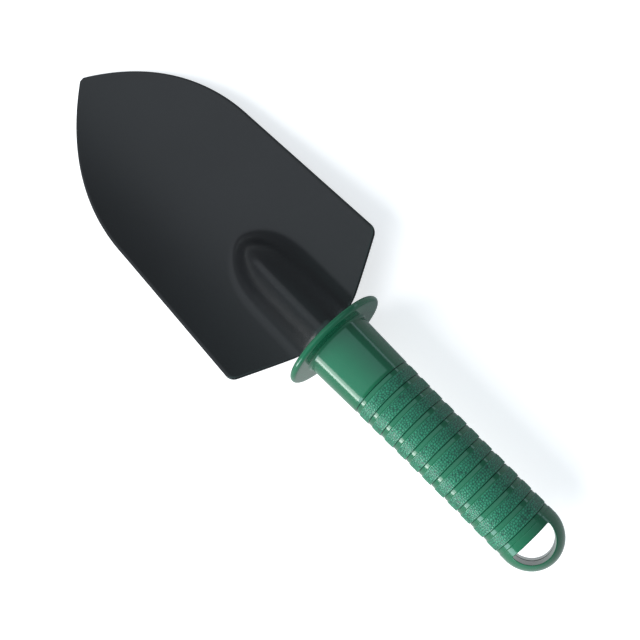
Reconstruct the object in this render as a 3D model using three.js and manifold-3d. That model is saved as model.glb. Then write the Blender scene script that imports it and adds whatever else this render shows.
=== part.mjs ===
// A hand trowel: a pressed steel blade whose ribbed tang sits in a one-piece moulded plastic handle.
// Millimetres, +Z up. The trowel lies on its back with the hollow of the blade facing up, the tip
// towards +X and the hanging loop towards -X. It is symmetric about the XZ plane. The origin is at
// the bottom centre of its box. Shapes are drawn about the handle's axis, with x = 0 at the middle
// of the guard, and the whole group is then moved to that origin.
import * as THREE from "three";
import { mergeVertices } from "three/addons/utils/BufferGeometryUtils.js";
import Module from "manifold-3d";

// Blade outline, seen from above
const TIP_X = 181.5; // where the two ogive arcs would meet
const TIP_HALF_WIDTH = 1.3; // the point is blunted to this
const OGIVE_START_X = 100; // the straight sides end here
const OGIVE_HALF_WIDTH = 41.3;
const CORNER_X = 20.6; // where the side and the shoulder would meet
const CORNER_HALF_WIDTH = 43.1;
const CORNER_RADIUS = 4.6;
const SHOULDER_RUN = 0.469; // how far a shoulder moves forward for each mm outwards
const TANG_HALF_WIDTH = 9;
const TANG_LENGTH = 62; // how far the tang reaches behind the middle of the guard

// Blade sheet
const SHEET_THICKNESS = 1.5;
const TROUGH_RADIUS = 130; // the hollow across the blade
const PAN_DEPTH = 10; // how far the blade's floor lies under the handle's axis at the guard
const PITCH_START_X = 8;
const PITCH = 0.1; // the floor falls this much for each mm forwards
const CURL_START_X = 90; // from here the floor levels out and turns up slightly
const CURL_RISE = 0.03; // its slope at the tip

// The rib pressed into the blade, which runs on as the tang
const RIB_HEIGHT = 11.5; // of its crest above the floor
const RIB_FALL_X = 25; // behind this the section is constant; in front the crest falls to the nose
const RIB_NOSE_X = 63.5;
const RIB_FALL_POWER = 4; // over 1 holds the crest up and steepens the nose
const RIB_SLOPE = 1.15; // of its flanks
const RIB_CREST = 5.5; // rounding of the crest
const RIB_FOOT = 4.5; // rounding of the foot, where the flanks run out into the floor
const TROUGH_START_X = -5; // the hollow fades in from here to PITCH_START_X

// Handle
const GUARD_RADIUS = 23.45;
const GUARD_HALF_THICKNESS = 1.4;
const NECK_FILLET = 1.2;
const WAIST_RADIUS = 12.83; // the handle's radius where it is thinnest, at WAIST_X
const WAIST_X = -105;
const FLARE = 0.00016; // the radius grows by this times the distance from the waist squared
const GROOVE_COUNT = 12;
const FIRST_GROOVE_X = -26.4;
const GROOVE_PITCH = 6.62;
const GROOVE_WIDTH = 2;
const GROOVE_DEPTH = 0.3;
const SOCKET_CLEARANCE = 0.35; // all round the tang

// Hanging loop
const DOME_X = -103.8; // centre of the domed end
const HOLE_X = -104.3; // the hole's flat wall, and the centre of its round wall
const HOLE_RADIUS = 9;
const HOLE_CORNER = 0.6;

// Facets
const LATHE_SIDES = 40;
const CURVE_STEPS = 16;
const HALF_COLUMNS = 12;
const COLUMN_CROWDING = 1.6; // over 1 crowds the sheet's columns towards the rib

const wasm = await Module();
wasm.setup();

// ---------- meshes and solids ----------

function weld(geometry) {
  const bare = geometry.clone();
  bare.deleteAttribute("normal");
  bare.deleteAttribute("uv");
  return mergeVertices(bare, 1e-4);
}

function solidFrom(geometry) {
  const welded = weld(geometry);
  const corners = welded.index.array;
  const triangles = [];
  for (let i = 0; i < corners.length; i += 3) {
    const [a, b, c] = [corners[i], corners[i + 1], corners[i + 2]];
    if (a !== b && b !== c && c !== a) triangles.push(a, b, c);
  }
  const mesh = new wasm.Mesh({
    numProp: 3,
    vertProperties: new Float32Array(welded.attributes.position.array),
    triVerts: new Uint32Array(triangles),
  });
  return new wasm.Manifold(mesh);
}

function geometryFrom(solid) {
  const { vertProperties, triVerts } = solid.getMesh();
  const geometry = new THREE.BufferGeometry();
  geometry.setAttribute("position", new THREE.BufferAttribute(vertProperties, 3));
  geometry.setIndex(new THREE.BufferAttribute(triVerts, 1));
  return geometry;
}

function prism(shape, depth) {
  return new THREE.ExtrudeGeometry(shape, { depth, bevelEnabled: false, curveSegments: CURVE_STEPS });
}

// ---------- blade ----------

// Height of the blade's floor along its middle, on the upper side of the sheet.
function floorHeight(x) {
  const pitched = Math.min(Math.max(x - PITCH_START_X, 0), CURL_START_X - PITCH_START_X);
  const curled = Math.max(x - CURL_START_X, 0);
  const curl = (PITCH + CURL_RISE) / (TIP_X - CURL_START_X);
  return -PAN_DEPTH - PITCH * (pitched + curled) + (curl * curled * curled) / 2;
}

function crestHeight(x) {
  const fallen = Math.max(x - RIB_FALL_X, 0) / (RIB_NOSE_X - RIB_FALL_X);
  return RIB_HEIGHT * (1 - fallen ** RIB_FALL_POWER);
}

// A rounded ridge with straight flanks, blended into the floor at its foot.
function ribHeight(x, y) {
  const drop = RIB_SLOPE * (Math.hypot(y, RIB_CREST) - RIB_CREST);
  const ridge = crestHeight(x) - drop;
  if (ridge >= RIB_FOOT) return ridge;
  return ridge <= -RIB_FOOT ? 0 : (ridge + RIB_FOOT) ** 2 / (4 * RIB_FOOT);
}

// The hollow across the blade fades out over the tang, which only carries the rib.
function sheetHeight(x, y) {
  const trough = THREE.MathUtils.smoothstep(x, TROUGH_START_X, PITCH_START_X);
  return floorHeight(x) + (trough * y * y) / (2 * TROUGH_RADIUS) + ribHeight(x, y);
}

function sheetPoint(x, y, below) {
  const step = 0.05;
  const slopeX = (sheetHeight(x + step, y) - sheetHeight(x - step, y)) / (2 * step);
  const slopeY = (sheetHeight(x, y + step) - sheetHeight(x, y - step)) / (2 * step);
  const up = new THREE.Vector3(-slopeX, -slopeY, 1).normalize();
  return new THREE.Vector3(x, y, sheetHeight(x, y)).addScaledVector(up, -below);
}

// Stations [x, half width] from the tang's end to the tip. Each is one row of the sheet.
function bladeStations() {
  const shoulderX = (y) => CORNER_X - (CORNER_HALF_WIDTH - y) * SHOULDER_RUN;
  const stations = [];
  const tangRows = 9;
  const tangFront = shoulderX(TANG_HALF_WIDTH) - 1;
  for (let i = 0; i <= tangRows; i++) {
    stations.push([THREE.MathUtils.lerp(-TANG_LENGTH, tangFront, i / tangRows), TANG_HALF_WIDTH]);
  }

  const sideSlope = (CORNER_HALF_WIDTH - OGIVE_HALF_WIDTH) / (OGIVE_START_X - CORNER_X);
  const side = new THREE.Vector2(1, -sideSlope).normalize();
  const shoulder = new THREE.Vector2(-SHOULDER_RUN, -1).normalize();
  const corner = new THREE.Vector2(CORNER_X, CORNER_HALF_WIDTH);
  const halfAngle = Math.acos(side.dot(shoulder)) / 2;
  const inwards = side.clone().add(shoulder).normalize();
  const centre = corner.clone().addScaledVector(inwards, CORNER_RADIUS / Math.sin(halfAngle));
  const reach = CORNER_RADIUS / Math.tan(halfAngle);
  const arcStart = corner.clone().addScaledVector(shoulder, reach);
  const arcEnd = corner.clone().addScaledVector(side, reach);

  const shoulderRows = 7;
  for (let i = 0; i < shoulderRows; i++) {
    const y = THREE.MathUtils.lerp(TANG_HALF_WIDTH + 1, arcStart.y, i / shoulderRows);
    stations.push([shoulderX(y), y]);
  }
  const startAngle = Math.atan2(arcStart.y - centre.y, arcStart.x - centre.x);
  const endAngle = Math.atan2(arcEnd.y - centre.y, arcEnd.x - centre.x);
  const cornerRows = 5;
  for (let i = 0; i < cornerRows; i++) {
    const angle = THREE.MathUtils.lerp(startAngle, endAngle, i / cornerRows);
    stations.push([
      centre.x + CORNER_RADIUS * Math.cos(angle),
      centre.y + CORNER_RADIUS * Math.sin(angle),
    ]);
  }

  const sideRows = 24;
  for (let i = 0; i < sideRows; i++) {
    const x = THREE.MathUtils.lerp(arcEnd.x, OGIVE_START_X, i / sideRows);
    stations.push([x, CORNER_HALF_WIDTH - (x - CORNER_X) * sideSlope]);
  }
  const length = TIP_X - OGIVE_START_X;
  const radius = (length ** 2 + OGIVE_HALF_WIDTH ** 2) / (2 * OGIVE_HALF_WIDTH);
  const tipAngle = Math.acos((radius - OGIVE_HALF_WIDTH + TIP_HALF_WIDTH) / radius);
  const ogiveRows = 14;
  for (let i = 0; i <= ogiveRows; i++) {
    const angle = (tipAngle * i) / ogiveRows;
    stations.push([
      OGIVE_START_X + radius * Math.sin(angle),
      OGIVE_HALF_WIDTH - radius * (1 - Math.cos(angle)),
    ]);
  }
  return stations;
}

// A closed sheet: an upper and a lower grid, joined round the outline.
function makeBlade() {
  const stations = bladeStations();
  const columns = 2 * HALF_COLUMNS + 1;
  const grid = stations.length * columns;
  const positions = [];
  for (const below of [0, SHEET_THICKNESS]) {
    for (const [x, halfWidth] of stations) {
      for (let j = -HALF_COLUMNS; j <= HALF_COLUMNS; j++) {
        const across = Math.sign(j) * Math.abs(j / HALF_COLUMNS) ** COLUMN_CROWDING;
        positions.push(...sheetPoint(x, halfWidth * across, below).toArray());
      }
    }
  }
  const index = [];
  const quad = (a, b, c, d) => index.push(a, b, c, a, c, d);
  const at = (i, j, lower) => lower * grid + i * columns + j;
  for (let i = 0; i + 1 < stations.length; i++) {
    for (let j = 0; j + 1 < columns; j++) {
      quad(at(i, j, 0), at(i + 1, j, 0), at(i + 1, j + 1, 0), at(i, j + 1, 0));
      quad(at(i, j, 1), at(i, j + 1, 1), at(i + 1, j + 1, 1), at(i + 1, j, 1));
    }
    quad(at(i, 0, 0), at(i, 0, 1), at(i + 1, 0, 1), at(i + 1, 0, 0));
    const edge = columns - 1;
    quad(at(i, edge, 0), at(i + 1, edge, 0), at(i + 1, edge, 1), at(i, edge, 1));
  }
  const last = stations.length - 1;
  for (let j = 0; j + 1 < columns; j++) {
    quad(at(0, j, 0), at(0, j + 1, 0), at(0, j + 1, 1), at(0, j, 1));
    quad(at(last, j, 0), at(last, j, 1), at(last, j + 1, 1), at(last, j + 1, 0));
  }
  const geometry = new THREE.BufferGeometry();
  geometry.setAttribute("position", new THREE.Float32BufferAttribute(positions, 3));
  geometry.setIndex(index);
  return geometry;
}

// ---------- handle ----------

function bodyRadius(x) {
  return WAIST_RADIUS + FLARE * (x - WAIST_X) ** 2;
}

const DOME_RADIUS = bodyRadius(DOME_X);
const END_X = DOME_X - DOME_RADIUS;

// Profile as points (radius, x), from the guard's front face back to the dome at the loop's end.
function handleProfile() {
  const profile = [new THREE.Vector2(0, GUARD_HALF_THICKNESS)];
  const rimSteps = 5;
  for (let i = 0; i <= rimSteps; i++) {
    const angle = Math.PI / 2 - (Math.PI * i) / rimSteps;
    const rim = GUARD_RADIUS - GUARD_HALF_THICKNESS + GUARD_HALF_THICKNESS * Math.cos(angle);
    profile.push(new THREE.Vector2(rim, GUARD_HALF_THICKNESS * Math.sin(angle)));
  }
  const neckX = -GUARD_HALF_THICKNESS - NECK_FILLET;
  profile.push(new THREE.Vector2(bodyRadius(neckX) + NECK_FILLET, -GUARD_HALF_THICKNESS));
  profile.push(new THREE.Vector2(bodyRadius(neckX), neckX));
  for (let i = 0; i < GROOVE_COUNT; i++) {
    const front = FIRST_GROOVE_X - i * GROOVE_PITCH;
    const back = front - GROOVE_WIDTH;
    for (const [x, depth] of [[front, 0], [front, GROOVE_DEPTH], [back, GROOVE_DEPTH], [back, 0]]) {
      profile.push(new THREE.Vector2(bodyRadius(x) - depth, x));
    }
  }
  const domeSteps = 10;
  for (let i = 0; i < domeSteps; i++) {
    const angle = (Math.PI / 2) * (i / domeSteps);
    profile.push(
      new THREE.Vector2(DOME_RADIUS * Math.cos(angle), DOME_X - DOME_RADIUS * Math.sin(angle)),
    );
  }
  profile.push(new THREE.Vector2(0, END_X));
  return profile.reverse();
}

// The D-shaped hanging hole, seen from above.
function holeOutline() {
  const turn = Math.asin(HOLE_CORNER / HOLE_RADIUS);
  const cornerX = HOLE_X - HOLE_CORNER;
  const cornerY = HOLE_RADIUS * Math.cos(turn);
  const flat = HOLE_RADIUS - HOLE_CORNER;
  const shape = new THREE.Shape();
  shape.moveTo(HOLE_X, -flat);
  shape.lineTo(HOLE_X, flat);
  shape.quadraticCurveTo(HOLE_X, HOLE_RADIUS, cornerX, cornerY);
  shape.absarc(HOLE_X, 0, HOLE_RADIUS, Math.PI / 2 + turn, (3 * Math.PI) / 2 - turn, false);
  shape.quadraticCurveTo(HOLE_X, -HOLE_RADIUS, HOLE_X, -flat);
  return shape;
}

// The tang's arched section in Y and Z, grown by the clearance on every side.
function socketOutline() {
  const steps = 24;
  const reach = TANG_HALF_WIDTH + SOCKET_CLEARANCE;
  const points = [];
  for (const below of [-SOCKET_CLEARANCE, SHEET_THICKNESS + SOCKET_CLEARANCE]) {
    const row = [];
    for (let i = 0; i <= steps; i++) {
      const point = sheetPoint(-TANG_LENGTH, THREE.MathUtils.lerp(-reach, reach, i / steps), below);
      row.push(new THREE.Vector2(point.y, point.z));
    }
    points.push(...(below < 0 ? row : row.reverse()));
  }
  return new THREE.Shape(points);
}

function makeHandle() {
  const depth = 3 * GUARD_RADIUS;
  const lathed = new THREE.LatheGeometry(handleProfile(), LATHE_SIDES);
  lathed.rotateZ(-Math.PI / 2);
  const hole = prism(holeOutline(), depth).translate(0, 0, -depth / 2);
  const socket = prism(socketOutline(), TANG_LENGTH + SOCKET_CLEARANCE + depth);
  const yzAlongX = new THREE.Matrix4().makeBasis(
    new THREE.Vector3(0, 1, 0),
    new THREE.Vector3(0, 0, 1),
    new THREE.Vector3(1, 0, 0),
  );
  socket.applyMatrix4(yzAlongX).translate(-TANG_LENGTH - SOCKET_CLEARANCE, 0, 0);
  return geometryFrom(solidFrom(lathed).subtract(solidFrom(hole)).subtract(solidFrom(socket)));
}

// ---------- the trowel ----------

const powderCoat = new THREE.MeshStandardMaterial({ color: 0x26282a, roughness: 0.5, metalness: 0.1 });
const greenPlastic = new THREE.MeshStandardMaterial({ color: 0x116b45, roughness: 0.3, metalness: 0 });

const blade = new THREE.Mesh(makeBlade(), powderCoat);
blade.name = "blade";

const handle = new THREE.Mesh(makeHandle(), greenPlastic);
handle.name = "handle";

const trowel = new THREE.Group();
trowel.add(blade, handle);
const frontX = Math.max(...bladeStations().map(([x]) => x));
trowel.position.set(-(frontX + END_X) / 2, 0, GUARD_RADIUS);

export default trowel;
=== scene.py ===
"""A hand trowel in Blender 4.5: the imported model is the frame, and both of its pieces are remade here.

Shapes are drawn in millimetres about the handle's axis, with x = 0 at the middle of the guard, x growing
towards the blade's tip and z up. to_row() moves them into the row frame, in metres.
"""

import math

import bmesh
import bpy
import numpy as np
from mathutils import Matrix, Vector
from mathutils.geometry import tessellate_polygon


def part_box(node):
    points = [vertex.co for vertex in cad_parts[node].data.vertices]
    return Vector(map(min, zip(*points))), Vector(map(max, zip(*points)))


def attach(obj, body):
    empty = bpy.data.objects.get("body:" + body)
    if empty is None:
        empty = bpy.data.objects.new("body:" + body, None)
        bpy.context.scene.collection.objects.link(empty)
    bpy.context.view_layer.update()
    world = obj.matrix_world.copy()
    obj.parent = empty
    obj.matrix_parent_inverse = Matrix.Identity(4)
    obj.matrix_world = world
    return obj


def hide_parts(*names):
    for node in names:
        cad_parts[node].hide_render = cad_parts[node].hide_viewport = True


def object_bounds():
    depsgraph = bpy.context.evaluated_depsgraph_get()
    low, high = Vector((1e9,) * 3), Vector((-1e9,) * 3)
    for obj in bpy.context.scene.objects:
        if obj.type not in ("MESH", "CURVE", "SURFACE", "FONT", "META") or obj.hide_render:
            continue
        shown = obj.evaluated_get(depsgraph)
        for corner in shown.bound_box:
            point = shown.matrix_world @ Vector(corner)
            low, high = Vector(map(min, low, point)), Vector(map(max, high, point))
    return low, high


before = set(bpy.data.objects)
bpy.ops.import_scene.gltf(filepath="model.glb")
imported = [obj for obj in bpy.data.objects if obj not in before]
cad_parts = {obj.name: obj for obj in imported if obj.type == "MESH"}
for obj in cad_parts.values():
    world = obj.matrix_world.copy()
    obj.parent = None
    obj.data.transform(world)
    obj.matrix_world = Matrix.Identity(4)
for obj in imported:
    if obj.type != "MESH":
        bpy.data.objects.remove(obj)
cad_low, cad_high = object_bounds()

MM = 0.001
BODY = "root"

# ---------- driving sizes, in mm, and shares from 0 to 1 ----------

# handle
GUARD_HALF_THICKNESS = 1.4
GUARD_RADIUS = 23.45
NECK_FILLET = 1.2
WAIST_RADIUS = 12.83
WAIST_X = -105.0
FLARE = 0.00016
GROOVE_COUNT = 12
FIRST_GROOVE_X = -26.4
GROOVE_PITCH = 6.62
GROOVE_WIDTH = 2.0
GROOVE_DEPTH = 0.27
SLIT_DEPTH = 0.25
SLIT_WIDTH = 0.32
COLLAR_LENGTH = 0.3
BAND_ROW_SPACING = 0.23
BAND_PILLOW = 0.05
GRAIN_FADE = 0.35
GRAIN_CELL = 1.0
GRAIN_DEPTH = 0.15
GRAIN_SEED = 7
PEBBLE_PLACES = (0.08, 0.92)
PEBBLE_HEIGHTS = (0.75, 1.0)
PEBBLE_MIDDLE = 0.7
VALLEY_WIDTH = 0.42
DOME_X = -103.8
HOLE_X = -104.3
HOLE_RADIUS = 9.0
HOLE_CORNER = 0.6
HOLE_EDGE = 0.5
HOLE_DRAFT = 0.035
PARTING_HALF_WIDTH = 0.9
PARTING_DEPTH = 0.3
SOCKET_CLEARANCE = 0.35

# blade
TIP_X = 181.5
TIP_HALF_WIDTH = 1.3
OGIVE_START_X = 100.0
OGIVE_HALF_WIDTH = 41.3
CORNER_X = 20.6
CORNER_HALF_WIDTH = 43.1
CORNER_RADIUS = 4.6
OUTLINE_SPACING = 1.4
SHOULDER_RUN = 0.469
SHOULDER_ROOT_RADIUS = 3.0
TANG_HALF_WIDTH = 9.0
TANG_LENGTH = 62.0
SHEET_THICKNESS = 1.5
EDGE_ROUND = 0.45
TROUGH_RADIUS = 130.0
PAN_DEPTH = 10.0
PITCH_START_X = 8.0
PITCH = 0.1
CURL_START_X = 90.0
CURL_RISE = 0.03
RIB_HEIGHT = 11.5
RIB_FALL_X = 25.0
RIB_NOSE_X = 63.5
RIB_FALL_POWER = 4.0
RIB_SLOPE = 1.15
RIB_CREST = 5.5
RIB_FOOT = 4.5
TROUGH_START_X = -5.0

# how finely the shapes are divided
SIDES = 352
RIM_STEPS = 14
GUARD_SIDE_SHARES = (0.3, 0.6, 0.85)
FILLET_STEPS = 7
NECK_ROWS = 14
LOOP_SURFACE_STEPS = 22
HOLE_ARC_STEPS = 120
HOLE_CORNER_STEPS = 10
HOLE_EDGE_STEPS = 6
HOLE_WALL_STEPS = 8
PARTING_SHARES = (1.0, 0.5, 0.0)
SOCKET_COLUMNS = 41
SHOULDER_ROOT_STEPS = 7
CORNER_STEPS = 12
OGIVE_STEPS = 50
BLADE_HALF_COLUMNS = 56
BLADE_EDGE_STEPS = 5
WELD_DISTANCE = 2e-6

handle_low, handle_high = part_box("handle")
AXIS_HEIGHT = (handle_low.z + handle_high.z) / 2
GUARD_MIDDLE = handle_high.x - GUARD_HALF_THICKNESS * MM


def to_row(points):
    """Points in mm about the handle's axis, as an array in metres in the row frame."""
    moved = np.asarray(points, float) * MM
    moved[:, 0] += GUARD_MIDDLE
    moved[:, 2] += AXIS_HEIGHT
    return moved


def smoothstep(value, low, high):
    t = np.clip((value - low) / (high - low), 0.0, 1.0)
    return t * t * (3 - 2 * t)


def strip(first, second, closed=True, flip=False):
    """Quads between two rows of vertex numbers."""
    count = len(first) if closed else len(first) - 1
    faces = []
    for j in range(count):
        k = (j + 1) % len(first)
        quad = (first[j], first[k], second[k], second[j])
        faces.append(quad[::-1] if flip else quad)
    return faces


class Shell:
    """Collects grids of points and the faces between them, and makes one closed object of them."""

    def __init__(self):
        self.points = []
        self.faces = []
        self.count = 0

    def add(self, grid):
        """Takes in a grid of points and gives back their vertex numbers, in the same grid."""
        numbers = np.arange(self.count, self.count + grid[..., 0].size).reshape(grid.shape[:-1])
        self.points.append(grid.reshape(-1, 3))
        self.count += numbers.size
        return numbers

    def join(self, rows, closed=True, flip=False):
        for first, second in zip(rows, rows[1:]):
            self.faces += strip(first, second, closed, flip)

    def make(self, name):
        mesh = bpy.data.meshes.new(name)
        faces = [tuple(int(number) for number in face) for face in self.faces]
        mesh.from_pydata(to_row(np.concatenate(self.points)).tolist(), [], faces)
        mesh.validate()
        mesh.update()
        made = bpy.data.objects.new(name, mesh)
        bpy.context.scene.collection.objects.link(made)
        return made


def weld(thing):
    """Joins points that lie in the same place, and turns every face outwards."""
    work = bmesh.new()
    work.from_mesh(thing.data)
    bmesh.ops.remove_doubles(work, verts=work.verts, dist=WELD_DISTANCE)
    bmesh.ops.recalc_face_normals(work, faces=work.faces)
    work.to_mesh(thing.data)
    work.free()
    thing.data.shade_smooth()


# ---------- blade ----------


def floor_height(x):
    pitched = np.clip(x - PITCH_START_X, 0, CURL_START_X - PITCH_START_X)
    curled = np.maximum(x - CURL_START_X, 0)
    curl = (PITCH + CURL_RISE) / (TIP_X - CURL_START_X)
    return -PAN_DEPTH - PITCH * (pitched + curled) + curl * curled**2 / 2


def rib_height(x, y):
    """A rounded ridge with straight flanks, blended into the floor at its foot."""
    fallen = np.maximum(x - RIB_FALL_X, 0) / (RIB_NOSE_X - RIB_FALL_X)
    crest = RIB_HEIGHT * (1 - fallen**RIB_FALL_POWER)
    ridge = crest - RIB_SLOPE * (np.hypot(y, RIB_CREST) - RIB_CREST)
    foot = np.clip(ridge + RIB_FOOT, 0, None) ** 2 / (4 * RIB_FOOT)
    return np.where(ridge >= RIB_FOOT, ridge, foot)


def sheet_height(x, y):
    trough = smoothstep(x, TROUGH_START_X, PITCH_START_X)
    return floor_height(x) + trough * y**2 / (2 * TROUGH_RADIUS) + rib_height(x, y)


def sheet_normal(x, y):
    step = 0.05
    slope_x = (sheet_height(x + step, y) - sheet_height(x - step, y)) / (2 * step)
    slope_y = (sheet_height(x, y + step) - sheet_height(x, y - step)) / (2 * step)
    up = np.stack([-slope_x, -slope_y, np.ones_like(slope_x)], axis=-1)
    return up / np.linalg.norm(up, axis=-1, keepdims=True)


def sheet_points(x, y, below):
    """Points that lie `below` mm under the upper side of the sheet."""
    upper = np.stack([x, y, sheet_height(x, y)], axis=-1)
    return upper - below * sheet_normal(x, y)


def arc(centre, radius, start, end, steps):
    angles = np.linspace(start, end, steps)
    return [(centre[0] + radius * math.cos(a), centre[1] + radius * math.sin(a)) for a in angles]


def corner_arc(corner, towards_a, towards_b, radius, steps):
    """The arc that rounds a corner, from the side towards a to the side towards b."""
    corner, a, b = (np.array(v, float) for v in (corner, towards_a, towards_b))
    a /= np.linalg.norm(a)
    b /= np.linalg.norm(b)
    half = math.acos(float(a @ b)) / 2
    middle = (a + b) / np.linalg.norm(a + b)
    centre = corner + middle * radius / math.sin(half)
    start, end = (corner + side * radius / math.tan(half) - centre for side in (a, b))
    first = math.atan2(start[1], start[0])
    last = math.atan2(end[1], end[0])
    if last - first > math.pi:
        last -= 2 * math.pi
    if first - last > math.pi:
        last += 2 * math.pi
    return arc(centre, radius, first, last, steps)


def resample(points, spacing):
    """A polyline cut into even steps, with its own corners kept."""
    kept = [points[0]]
    for a, b in zip(points, points[1:]):
        steps = max(1, math.ceil(math.dist(a, b) / spacing))
        start = np.array(a)
        run = np.array(b) - start
        kept += [tuple(start + run * i / steps) for i in range(1, steps + 1)]
    return kept


def blade_outline():
    """The right-hand outline as (x, half width), from the end of the tang to the tip."""
    side_slope = (CORNER_HALF_WIDTH - OGIVE_HALF_WIDTH) / (OGIVE_START_X - CORNER_X)
    root_x = CORNER_X - (CORNER_HALF_WIDTH - TANG_HALF_WIDTH) * SHOULDER_RUN
    root = corner_arc(
        (root_x, TANG_HALF_WIDTH), (-1, 0), (SHOULDER_RUN, 1), SHOULDER_ROOT_RADIUS, SHOULDER_ROOT_STEPS
    )
    corner = corner_arc(
        (CORNER_X, CORNER_HALF_WIDTH), (-SHOULDER_RUN, -1), (1, -side_slope), CORNER_RADIUS, CORNER_STEPS
    )
    length = TIP_X - OGIVE_START_X
    radius = (length**2 + OGIVE_HALF_WIDTH**2) / (2 * OGIVE_HALF_WIDTH)
    tip_angle = math.acos((radius - OGIVE_HALF_WIDTH + TIP_HALF_WIDTH) / radius)
    ogive_centre = (OGIVE_START_X, OGIVE_HALF_WIDTH - radius)
    ogive = arc(ogive_centre, radius, math.pi / 2, math.pi / 2 - tip_angle, OGIVE_STEPS)
    points = [(-TANG_LENGTH, TANG_HALF_WIDTH), *root, *corner, *ogive]
    return np.array(resample(points, OUTLINE_SPACING))


def inset(outline, distance):
    """The outline moved inwards, towards the middle line."""
    along = np.gradient(outline, axis=0)
    along /= np.linalg.norm(along, axis=1, keepdims=True)
    inwards = np.stack([along[:, 1], -along[:, 0]], axis=1)
    moved = outline + inwards * distance
    moved[0] = outline[0] + np.array([distance, -distance])
    return moved


def blade_columns():
    """Shares of the half width, crowded towards the rib."""
    crowding = 1.45
    j = np.arange(-BLADE_HALF_COLUMNS, BLADE_HALF_COLUMNS + 1) / BLADE_HALF_COLUMNS
    return np.sign(j) * np.abs(j) ** crowding


def edge_rings(top, bottom):
    """Rings of points that round the sheet's edge, from its upper side to its lower side."""
    fullness = 0.6
    along = np.roll(top, -1, axis=0) - np.roll(top, 1, axis=0)
    outwards = np.cross(along, top - bottom)
    outwards /= np.linalg.norm(outwards, axis=1, keepdims=True)
    rings = []
    for j in range(1, BLADE_EDGE_STEPS):
        share = j / BLADE_EDGE_STEPS
        bulge = EDGE_ROUND * math.sin(math.pi * share) ** fullness
        rings.append(top + (bottom - top) * share + outwards * bulge)
    return np.array(rings)


def build_blade():
    stations = inset(blade_outline(), EDGE_ROUND)
    shares = blade_columns()
    x = np.repeat(stations[:, :1], len(shares), axis=1)
    y = stations[:, 1:] * shares[None, :]
    upper = sheet_points(x, y, 0.0)
    lower = sheet_points(x, y, SHEET_THICKNESS)
    shell = Shell()
    top = shell.add(upper)
    bottom = shell.add(lower)
    shell.join(top, closed=False, flip=True)
    shell.join(bottom, closed=False)
    rim = np.array([*top[:, 0], *top[-1, 1:], *top[-2::-1, -1], *top[0, -2:0:-1]])
    rings = edge_rings(upper.reshape(-1, 3)[rim], lower.reshape(-1, 3)[rim])
    shell.join(np.vstack([rim, shell.add(rings), rim + top.size]), flip=True)
    return shell.make("trowel_blade")


# ---------- handle ----------

PLAIN = 0.0
SLIT = -1.0


def body_radius(x):
    return WAIST_RADIUS + FLARE * (x - WAIST_X) ** 2


def groove_rows(front):
    """Rows (x, radius, mark) across one recessed ring, from its guard side to its loop side.

    The ring starts with a narrow slit. The rows close beside each edge keep the ring's floor flat when the
    mesh is shaded smooth.
    """
    back = front - GROOVE_WIDTH
    front_radius = body_radius(front)
    back_radius = body_radius(back)
    floor = front_radius - GROOVE_DEPTH
    slit_floor = floor - SLIT_DEPTH
    slit_end = front - SLIT_WIDTH
    return [
        (front + 0.10, front_radius, PLAIN),
        (front + 0.02, front_radius - 0.04, PLAIN),
        (front - 0.02, floor - 0.5 * SLIT_DEPTH, SLIT),
        (front - 0.08, slit_floor, SLIT),
        (front - 0.6 * SLIT_WIDTH, slit_floor, SLIT),
        (slit_end, floor - 0.03, PLAIN),
        (slit_end - 0.05, floor, PLAIN),
        (slit_end - 0.12, floor, PLAIN),
        (front - 0.5 * GROOVE_WIDTH, floor, PLAIN),
        (back + 0.24, floor, PLAIN),
        (back + 0.17, floor, PLAIN),
        (back + 0.10, floor + 0.05, PLAIN),
        (back + 0.03, back_radius - 0.08, PLAIN),
        (back - 0.05, back_radius - 0.01, PLAIN),
    ]


def band_rows(front, back):
    """Rows across one raised, grained band. It is slightly pillowed, and the grain dies out at its edges."""
    fullness = 0.6
    rows = []
    width = front - back
    count = round(width / BAND_ROW_SPACING)
    for i in range(1, count):
        share = i / count
        x = front + (back - front) * share
        pillow = BAND_PILLOW * math.sin(math.pi * share) ** fullness
        edge = min(share, 1 - share) * width
        rows.append((x, body_radius(x) + pillow, min(1.0, edge / GRAIN_FADE)))
    return rows


def guard_rows():
    """Rows over the guard's rounded rim, down its handle side, and round the fillet onto the neck."""
    rows = []
    for i in range(RIM_STEPS + 1):
        angle = math.pi / 2 - math.pi * i / RIM_STEPS
        radius = GUARD_RADIUS - GUARD_HALF_THICKNESS * (1 - math.cos(angle))
        rows.append((GUARD_HALF_THICKNESS * math.sin(angle), radius, PLAIN))
    rim = rows[-1][1]
    fillet_top = body_radius(-GUARD_HALF_THICKNESS - NECK_FILLET) + NECK_FILLET
    for share in GUARD_SIDE_SHARES:
        radius = rim * (1 - share) + fillet_top * share
        rows.append((-GUARD_HALF_THICKNESS, radius, PLAIN))
    for i in range(FILLET_STEPS + 1):
        angle = math.pi / 2 * i / FILLET_STEPS
        x = -GUARD_HALF_THICKNESS - NECK_FILLET * (1 - math.cos(angle))
        rows.append((x, fillet_top - NECK_FILLET * math.sin(angle), PLAIN))
    return rows


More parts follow.
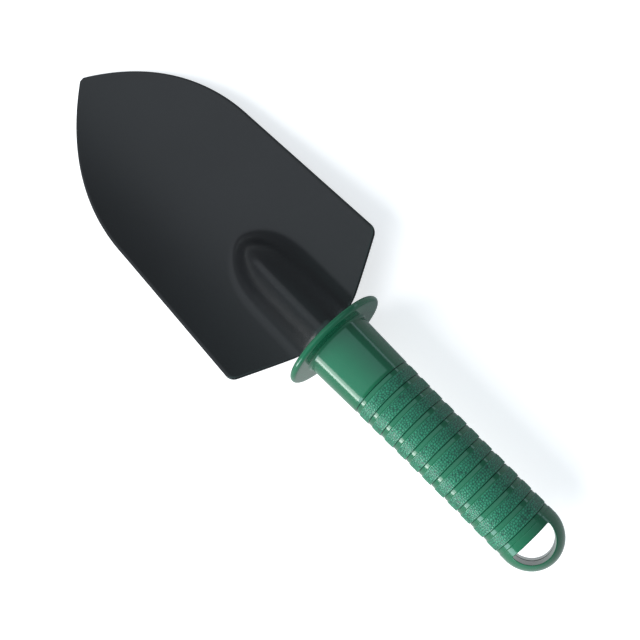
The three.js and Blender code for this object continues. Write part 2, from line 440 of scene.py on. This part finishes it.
def lathe_rows():
    """Rows (x, radius, mark) from the guard's front face to the ring where the loop starts.

    The mark is SLIT in a slit, PLAIN where the plastic is smooth, and up to 1 where it is grained.
    """
    rows = guard_rows()
    neck_x = -GUARD_HALF_THICKNESS - NECK_FILLET
    for x in np.linspace(neck_x, FIRST_GROOVE_X, NECK_ROWS)[1:-1]:
        rows.append((float(x), body_radius(x), PLAIN))
    for i in range(GROOVE_COUNT):
        front = FIRST_GROOVE_X - i * GROOVE_PITCH
        back = front - GROOVE_WIDTH
        rows += groove_rows(front)
        if i + 1 < GROOVE_COUNT:
            rows += band_rows(back, front - GROOVE_PITCH)
    last_groove = FIRST_GROOVE_X - (GROOVE_COUNT - 1) * GROOVE_PITCH
    collar = last_groove - GROOVE_WIDTH - COLLAR_LENGTH
    rows.append((collar, body_radius(collar), PLAIN))
    return rows


def grain_height(along, around):
    """Pebbles between 0 and 1 on a surface unrolled to (along, around), repeating after the whole turn."""
    rng = np.random.default_rng(GRAIN_SEED)
    far = 9.0
    span = math.ceil((along.max() - along.min()) / GRAIN_CELL) + 3
    turn = 2 * math.pi * WAIST_RADIUS
    across = round(turn / GRAIN_CELL)
    centres = rng.uniform(*PEBBLE_PLACES, (span, across, 2))
    heights = rng.uniform(*PEBBLE_HEIGHTS, (span, across))
    u = (along - along.min()) / GRAIN_CELL + 1
    v = (around % turn) / turn * across
    nearest = np.full(u.shape, far)
    second = np.full(u.shape, far)
    height = np.zeros(u.shape)
    for du in (-1, 0, 1):
        for dv in (-1, 0, 1):
            cell_u = np.clip(np.floor(u).astype(int) + du, 0, span - 1)
            cell_v = np.floor(v).astype(int) + dv
            turned_v = cell_v % across
            offset_u = u - cell_u - centres[cell_u, turned_v, 0]
            offset_v = v - cell_v - centres[cell_u, turned_v, 1]
            distance = np.hypot(offset_u, offset_v)
            nearer = distance < nearest
            second = np.where(nearer, nearest, np.minimum(second, distance))
            height = np.where(nearer, heights[cell_u, turned_v], height)
            nearest = np.where(nearer, distance, nearest)
    return height * smoothstep(second - nearest, 0.0, VALLEY_WIDTH)


def body_grid(rows):
    """The turned part of the handle as a grid of points, with how grained each point is and how much painted
    shade it gets in the pebble valleys and slits.
    """
    x, radius, mark = (column[:, None] for column in np.array(rows).T)
    grained = np.clip(mark, 0, 1)
    angle = np.arange(SIDES)[None, :] * 2 * math.pi / SIDES
    along = np.broadcast_to(x, (len(rows), SIDES))
    around = np.broadcast_to(angle * WAIST_RADIUS, along.shape)
    pebbles = grain_height(along, around)
    radius = radius + grained * GRAIN_DEPTH * (pebbles - PEBBLE_MIDDLE)
    points = np.stack([along, radius * np.sin(angle), radius * np.cos(angle)], axis=-1)
    # Painted shade: full in the slits, and darker the lower a point lies between the pebbles, lighter on
    # their tops.
    recess_shade = np.where(mark == SLIT, 1.0, grained * (1 - pebbles))
    return points, np.broadcast_to(grained, along.shape), recess_shade


def socket_outline():
    """The arched slot that takes the tang, as (y, z) points round it."""
    reach = TANG_HALF_WIDTH + SOCKET_CLEARANCE
    y = np.linspace(-reach, reach, SOCKET_COLUMNS)
    x = np.full_like(y, -TANG_LENGTH)
    over = sheet_points(x, y, -SOCKET_CLEARANCE)[:, 1:]
    under = sheet_points(x, y, SHEET_THICKNESS + SOCKET_CLEARANCE)[:, 1:]
    return [tuple(p) for p in over] + [tuple(p) for p in under[::-1]]


def on_loop(plan, radius):
    """Plan points lifted to the loop's outer surface: a bar as far as DOME_X, and a dome behind it."""
    x = plan[:, 0]
    y = plan[:, 1]
    back = np.minimum(x - DOME_X, 0)
    return np.column_stack([plan, np.sqrt(np.maximum(radius**2 - y**2 - back**2, 0))])


def curve(start, corner, end, t):
    """A point on the curve that leaves start towards the corner and reaches end."""
    return start * (1 - t) ** 2 + 2 * corner * t * (1 - t) + end * t**2


def knuckle_pairs(front_x, radius, flat, turn):
    """Pairs of plan points round the hole's small corner, with their partners along the loop's side."""
    side_share = 0.8
    corner = np.array([HOLE_X, HOLE_RADIUS])
    start = np.array([HOLE_X, flat])
    end = np.array([HOLE_X - HOLE_CORNER, HOLE_RADIUS * math.cos(turn)])
    pairs = []
    for i in range(1, HOLE_CORNER_STEPS + 1):
        t = i / HOLE_CORNER_STEPS
        inner = curve(start, corner, end, t)
        side = front_x + (DOME_X - front_x) * min(1.0, t / side_share)
        angle = max(0.0, (t - side_share) / (1 - side_share)) * turn
        outer = (side - radius * math.sin(angle), radius * math.cos(angle))
        pairs.append((tuple(inner), outer))
    return pairs


def loop_columns(front_x, radius):
    """Pairs of plan points, on the hole's outline and on the loop's outside, once round the hole.

    The first SIDES / 2 + 1 pairs end on the ring where the loop starts, in the order of the turned body's
    upper half, from -y to +y.
    """
    flat = HOLE_RADIUS - HOLE_CORNER
    turn = math.asin(HOLE_CORNER / HOLE_RADIUS)
    half = SIDES // 2
    pairs = []
    for j in range(half + 1):
        angle = math.pi * (j / half - 0.5)
        inner = (HOLE_X, flat * angle / (math.pi / 2))
        pairs.append((inner, (front_x, radius * math.sin(angle))))
    knuckle = knuckle_pairs(front_x, radius, flat, turn)
    pairs += knuckle
    for i in range(1, HOLE_ARC_STEPS):
        angle = math.pi / 2 + turn + (math.pi - 2 * turn) * i / HOLE_ARC_STEPS
        direction = np.array([math.cos(angle), math.sin(angle)])
        inner = np.array([HOLE_X, 0.0]) + HOLE_RADIUS * direction
        outer = np.array([DOME_X, 0.0]) + radius * direction
        pairs.append((tuple(inner), tuple(outer)))
    pairs += [((i[0], -i[1]), (o[0], -o[1])) for i, o in reversed(knuckle)]
    return pairs


def wall_rows(on_wall, direction):
    """Rows down the upper half of the hole's drafted wall, to the parting line's groove at its middle."""
    top = on_wall[:, 2:]
    heights = [top * (1 - i / HOLE_WALL_STEPS) for i in range(1, HOLE_WALL_STEPS)]
    heights += [np.full_like(top, PARTING_HALF_WIDTH * share) for share in PARTING_SHARES]
    rows = []
    for height in heights:
        leaning = HOLE_DRAFT * (top - height)
        parting = PARTING_DEPTH * np.maximum(1 - height / PARTING_HALF_WIDTH, 0)
        rows.append(np.column_stack([on_wall[:, :2] - direction * (leaning - parting), height]))
    return rows


def loop_grid(front_x):
    """Rows from the loop's upper outside, over the hole's edge and down to the middle of its wall."""
    radius = body_radius(front_x)
    pairs = np.array(loop_columns(front_x, radius))
    inner = pairs[:, 0]
    outer = pairs[:, 1]
    outwards = outer - inner
    direction = outwards / np.linalg.norm(outwards, axis=1, keepdims=True)
    start = inner + direction * HOLE_EDGE
    rows = []
    for i in range(LOOP_SURFACE_STEPS):
        share = math.sin(math.pi / 2 * (1 - i / LOOP_SURFACE_STEPS))
        rows.append(on_loop(start + (outer - start) * share, radius))
    on_surface = on_loop(start, radius)
    edge = on_loop(inner, radius)
    on_wall = edge - np.array([0, 0, HOLE_EDGE])
    for i in range(HOLE_EDGE_STEPS + 1):
        rows.append(curve(on_surface, edge, on_wall, i / HOLE_EDGE_STEPS))
    return np.array(rows + wall_rows(on_wall, direction))


def add_loop(shell, front_x):
    """Both halves of the hanging loop, which meet on its outline and in the hole's parting line."""
    upper = loop_grid(front_x)
    lower = upper[:-1] * np.array([1, 1, -1])
    top = shell.add(upper)
    low = shell.add(lower)
    shell.join(top)
    shell.join(np.vstack([low, top[-1:]]), flip=True)


def add_socket(shell, ring, ring_numbers):
    """The slot that takes the tang, and the guard's flat front face between it and the given ring."""
    outline = socket_outline()
    ends = (ring[0][0], -TANG_LENGTH - SOCKET_CLEARANCE)
    slot = np.array([[(x, y, z) for y, z in outline] for x in ends])
    numbers = shell.add(slot)
    shell.join(numbers)
    front = [Vector(point) for point in slot[0]]
    back = [Vector(point) for point in slot[1]]
    rim = [Vector(point) for point in ring]
    known = [*ring_numbers, *numbers[0]]
    shell.faces += [[known[i] for i in triangle] for triangle in tessellate_polygon([rim, front])]
    shell.faces += [[numbers[1][i] for i in triangle] for triangle in tessellate_polygon([back])]


def build_handle():
    rows = lathe_rows()
    body, grained, recess_shade = body_grid(rows)
    shell = Shell()
    numbers = shell.add(body)
    shell.join(numbers)
    add_loop(shell, rows[-1][0])
    add_socket(shell, body[0], numbers[0])
    made = shell.make("trowel_handle")
    smooth = np.zeros(shell.count - body[..., 0].size)
    # The second attribute carries painted shade for the pebble valleys and slits; the loop and socket get
    # none of it, nor any grain.
    for name, values in (("grain", grained), ("recess_shade", recess_shade)):
        attribute = made.data.attributes.new(name, "FLOAT", "POINT")
        attribute.data.foreach_set("value", np.concatenate([values.ravel(), smooth]).astype(np.float32))
    return made


# ---------- materials ----------

# Each ramp is a list of (position, colour) stops.
COAT_RAMP = [(0.3, (0.0052, 0.0056, 0.0064, 1)), (0.75, (0.0066, 0.0070, 0.0080, 1))]
COAT_MOTTLE_SCALE = 28.0
MOTTLE_DETAIL = 3.0
COAT_ROUGHNESS = (0.24, 0.28)
PEEL_SCALE = 1100.0
PEEL_DETAIL = 2.0
PEEL_STRENGTH = 0.12
PEEL_DISTANCE = 0.0002
PLASTIC_RAMP = [(0.3, (0.006, 0.099, 0.046, 1)), (0.75, (0.008, 0.113, 0.053, 1))]
# Colours of the pebbled bands by painted shade: lightest on the pebble tops, darker between, darkest in the
# valleys and slits.
PEBBLE_SHADE_RAMP = [
    (0.15, (0.020, 0.182, 0.102, 1)),
    (0.5, (0.009, 0.118, 0.062, 1)),
    (0.95, (0.002, 0.036, 0.024, 1)),
]
PLASTIC_MOTTLE_SCALE = 60.0
PLASTIC_ROUGHNESS = (0.12, 0.36)
PLASTIC_IOR = 1.5


def new_material(name):
    material = bpy.data.materials.new(name)
    material.use_nodes = True
    tree = material.node_tree
    shader = tree.nodes["Principled BSDF"]
    return material, tree, shader


def node(tree, kind, **values):
    """A new node, with its inputs or its settings given by name."""
    made = tree.nodes.new(kind)
    for name, value in values.items():
        if name in made.inputs:
            made.inputs[name].default_value = value
        else:
            setattr(made, name, value)
    return made


def noise(tree, scale, detail):
    """Noise that is fixed to the object."""
    place = node(tree, "ShaderNodeTexCoord")
    made = node(tree, "ShaderNodeTexNoise", Scale=scale, Detail=detail)
    tree.links.new(place.outputs["Object"], made.inputs["Vector"])
    return made.outputs["Fac"]


def ramp(tree, factor, stops):
    """The colour that a ramp of (position, colour) stops has at the factor."""
    made = node(tree, "ShaderNodeValToRGB")
    elements = made.color_ramp.elements
    for element, (position, colour) in zip(elements, (stops[0], stops[-1])):
        element.position = position
        element.color = colour
    for position, colour in stops[1:-1]:
        elements.new(position).color = colour
    tree.links.new(factor, made.inputs["Fac"])
    return made.outputs["Color"]


def mix(tree, factor, first, second):
    """A mix of two colours, each a socket or a plain colour."""
    made = node(tree, "ShaderNodeMixRGB")
    tree.links.new(factor, made.inputs["Fac"])
    for name, colour in (("Color1", first), ("Color2", second)):
        if isinstance(colour, tuple):
            made.inputs[name].default_value = colour
        else:
            tree.links.new(colour, made.inputs[name])
    return made.outputs["Color"]


def spread(tree, value, limits):
    """A value from 0 to 1, spread between the two limits."""
    made = node(tree, "ShaderNodeMapRange")
    made.inputs["To Min"].default_value = limits[0]
    made.inputs["To Max"].default_value = limits[1]
    tree.links.new(value, made.inputs["Value"])
    return made.outputs["Result"]


def powder_coat():
    """Satin black coat with a faint mottle and fine orange peel."""
    material, tree, shader = new_material("powder_coat")
    link = tree.links.new
    mottle = noise(tree, COAT_MOTTLE_SCALE, MOTTLE_DETAIL)
    link(ramp(tree, mottle, COAT_RAMP), shader.inputs["Base Color"])
    link(spread(tree, mottle, COAT_ROUGHNESS), shader.inputs["Roughness"])
    peel = node(tree, "ShaderNodeBump", Strength=PEEL_STRENGTH, Distance=PEEL_DISTANCE)
    link(noise(tree, PEEL_SCALE, PEEL_DETAIL), peel.inputs["Height"])
    link(peel.outputs["Normal"], shader.inputs["Normal"])
    return material


def green_plastic():
    """Glossy green plastic, duller on the pebbled bands, with painted shade: lighter on the pebble tops and
    darker in the valleys and slits.
    """
    material, tree, shader = new_material("green_plastic")
    link = tree.links.new
    grain = node(tree, "ShaderNodeAttribute", attribute_name="grain").outputs["Fac"]
    # This attribute is painted shade, 1 in the slits and the deepest pebble valleys.
    recess_shade = node(tree, "ShaderNodeAttribute", attribute_name="recess_shade").outputs["Fac"]
    smooth_colour = ramp(tree, noise(tree, PLASTIC_MOTTLE_SCALE, MOTTLE_DETAIL), PLASTIC_RAMP)
    shaded_pebble_colour = ramp(tree, recess_shade, PEBBLE_SHADE_RAMP)
    marked = node(tree, "ShaderNodeMath", operation="MAXIMUM")
    link(grain, marked.inputs[0])
    link(recess_shade, marked.inputs[1])
    colour = mix(tree, marked.outputs[0], smooth_colour, shaded_pebble_colour)
    link(colour, shader.inputs["Base Color"])
    link(spread(tree, grain, PLASTIC_ROUGHNESS), shader.inputs["Roughness"])
    shader.inputs["IOR"].default_value = PLASTIC_IOR
    return material


# ---------- studio ----------

FLOOR_RADIUS = 4.0
FLOOR_SIDES = 96
FLOOR_ROUGHNESS = 0.8
FLOOR_COLOUR = (0.62, 0.62, 0.62, 1)
FLOOR_COLOUR_IN_REFLECTIONS = (0.44, 0.44, 0.43, 1)
FLOOR_LIFT = (0.13, 0.135, 0.14, 1)
FLOOR_LIFT_FOR_CAMERA = (0.66, 0.66, 0.66, 1)

KEY_SIZE = 1.3
KEY_OFFSET = Vector((0.1, 0.95, 0.68))
KEY_POWER = 30.0

# Soft panels that reflections see, in directions round the trowel: name, angle from overhead towards +Y in
# degrees (low, high, softness), reach towards +X as a direction component (low, high, softness), brightness
# and colour.
PANELS = [
    ("overhead", (-57, 70, 3), (-0.085, 0.26, 0.03), 1.25, (0.52, 1.0, 0.93)),
    ("overhead front", (-9, 52, 26), (0.29, 0.86, 0.06), 0.58, (0.93, 1.0, 1.07)),
    ("left window", (71, 100, 3), (-0.02, 0.204, 0.01), 7.0, (0.92, 1.0, 0.97)),
    ("left window, bright part", (82, 100, 3), (-0.02, 0.204, 0.01), 6.0, (0.95, 1.0, 0.98)),
    ("left window, far part", (68, 100, 3), (-0.3, -0.02, 0.03), 6.0, (0.72, 0.93, 1.0)),
    ("right strip", (-90, -83, 2), (-0.5, 0.3, 0.1), 1.8, (0.7, 0.9, 1.0)),
]
SHADE = (0.26, 0.28, 0.30)
BACKDROP = (0.93, 0.94, 0.95, 1.0)
FILL = (0.30, 0.38, 0.45, 1.0)


def make_floor():
    """A plain pale floor, lifted towards white for the camera and a little darker in reflections."""
    bpy.ops.mesh.primitive_circle_add(vertices=FLOOR_SIDES, radius=FLOOR_RADIUS, fill_type="NGON")
    floor = bpy.context.object
    floor.name = "floor"
    floor.location.z = cad_low.z
    material, tree, shader = new_material("pale_floor")
    shader.inputs["Roughness"].default_value = FLOOR_ROUGHNESS
    shader.inputs["Emission Strength"].default_value = 1.0
    rays = node(tree, "ShaderNodeLightPath").outputs
    lift = mix(tree, rays["Is Camera Ray"], FLOOR_LIFT, FLOOR_LIFT_FOR_CAMERA)
    tree.links.new(lift, shader.inputs["Emission Color"])
    colour = mix(tree, rays["Is Glossy Ray"], FLOOR_COLOUR, FLOOR_COLOUR_IN_REFLECTIONS)
    tree.links.new(colour, shader.inputs["Base Color"])
    floor.data.materials.append(material)


def make_key():
    """One large soft light, high on the trowel's left. Reflections don't see it."""
    middle = Vector((GUARD_MIDDLE, 0, AXIS_HEIGHT))
    data = bpy.data.lights.new("key", "AREA")
    data.shape = "RECTANGLE"
    data.size = KEY_SIZE
    data.size_y = KEY_SIZE
    data.energy = KEY_POWER
    key = bpy.data.objects.new("key", data)
    key.location = middle + KEY_OFFSET
    key.rotation_euler = (middle - key.location).to_track_quat("-Z", "Y").to_euler()
    key.visible_camera = False
    key.visible_glossy = False
    bpy.context.scene.collection.objects.link(key)


def calculate(tree, operation, first, second):
    """One step of arithmetic on a socket and a socket or a number."""
    made = node(tree, "ShaderNodeMath", operation=operation)
    tree.links.new(first, made.inputs[0])
    if isinstance(second, (int, float)):
        made.inputs[1].default_value = second
    else:
        tree.links.new(second, made.inputs[1])
    return made.outputs[0]


def soft_step(tree, value, start, end):
    made = node(tree, "ShaderNodeMapRange", interpolation_type="SMOOTHSTEP")
    tree.links.new(value, made.inputs["Value"])
    made.inputs["From Min"].default_value = start
    made.inputs["From Max"].default_value = end
    return made.outputs["Result"]


def window(tree, value, low, high, soft):
    """1 between low and high, with soft edges of the given width centred on them."""
    rise = soft_step(tree, value, low - soft / 2, low + soft / 2)
    fall = soft_step(tree, value, high + soft / 2, high - soft / 2)
    return calculate(tree, "MULTIPLY", rise, fall)


def panel_light(tree, mask, brightness, colour):
    made = node(tree, "ShaderNodeVectorMath", operation="SCALE")
    made.inputs[0].default_value = [component * brightness for component in colour]
    tree.links.new(mask, made.inputs["Scale"])
    return made.outputs["Vector"]


def reflected_studio(tree):
    """The shade and the sum of the panels, for each direction."""
    place = node(tree, "ShaderNodeTexCoord")
    split = node(tree, "ShaderNodeSeparateXYZ")
    tree.links.new(place.outputs["Generated"], split.inputs[0])
    towards = split.outputs
    angle = calculate(tree, "ARCTAN2", towards["Y"], towards["Z"])
    degrees = calculate(tree, "MULTIPLY", angle, 180 / math.pi)
    total = None
    for _, across, along, brightness, colour in PANELS:
        across_mask = window(tree, degrees, *across)
        along_mask = window(tree, towards["X"], *along)
        mask = calculate(tree, "MULTIPLY", across_mask, along_mask)
        added = node(tree, "ShaderNodeVectorMath", operation="ADD")
        tree.links.new(panel_light(tree, mask, brightness, colour), added.inputs[0])
        if total is None:
            added.inputs[1].default_value = SHADE
        else:
            tree.links.new(total, added.inputs[1])
        total = added.outputs["Vector"]
    return total


def make_world():
    """Soft panels for reflections, an even fill for everything else, and a pale backdrop for the camera."""
    world = bpy.data.worlds.new("studio")
    bpy.context.scene.world = world
    world.use_nodes = True
    # Light sampling would show the fill in reflections.
    world.cycles.sampling_method = "NONE"
    tree = world.node_tree
    rays = node(tree, "ShaderNodeLightPath").outputs
    lit = mix(tree, rays["Is Glossy Ray"], FILL, reflected_studio(tree))
    seen = mix(tree, rays["Is Camera Ray"], lit, BACKDROP)
    tree.links.new(seen, tree.nodes["Background"].inputs["Color"])


# ---------- camera ----------

CAMERA_DISTANCE = 340.0
CAMERA_TILT = math.radians(14.0)
CAMERA_SIDE_TILT = math.radians(5.0)
AXIS_ANGLE = math.radians(45.07)
LOOK_AT = (9.98, -1.46, 0.0)
SENSOR = 36.0
FRAME_WIDTH = 256.0
CLIP_START = 0.01
CLIP_END = 20.0


def make_camera():
    """Looks down on the trowel from the grip's side, with the handle running to the lower right."""
    target = Vector(to_row([LOOK_AT])[0])
    back = Vector(
        (
            -math.sin(CAMERA_TILT) * math.cos(CAMERA_SIDE_TILT),
            -math.sin(CAMERA_SIDE_TILT),
            math.cos(CAMERA_TILT) * math.cos(CAMERA_SIDE_TILT),
        )
    )
    along = Vector((-1, 0, 0))
    along = (along - along.dot(back) * back).normalized()
    side = back.cross(along)
    right = math.cos(AXIS_ANGLE) * along + math.sin(AXIS_ANGLE) * side
    up = -math.sin(AXIS_ANGLE) * along + math.cos(AXIS_ANGLE) * side
    data = bpy.data.cameras.new("camera")
    data.sensor_width = SENSOR
    data.lens = SENSOR * CAMERA_DISTANCE / FRAME_WIDTH
    data.clip_start = CLIP_START
    data.clip_end = CLIP_END
    camera = bpy.data.objects.new("camera", data)
    turn = Matrix((right, up, back)).transposed()
    camera.matrix_world = Matrix.Translation(target + back * CAMERA_DISTANCE * MM) @ turn.to_4x4()
    bpy.context.scene.collection.objects.link(camera)
    bpy.context.scene.camera = camera


# ---------- the scene ----------

make_camera()
make_floor()
make_world()
make_key()

blade = build_blade()
weld(blade)
blade.data.materials.append(powder_coat())
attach(blade, BODY)
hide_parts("blade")

handle = build_handle()
weld(handle)
handle.data.materials.append(green_plastic())
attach(handle, BODY)
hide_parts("handle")

bpy.context.scene.view_settings.view_transform = "Standard"
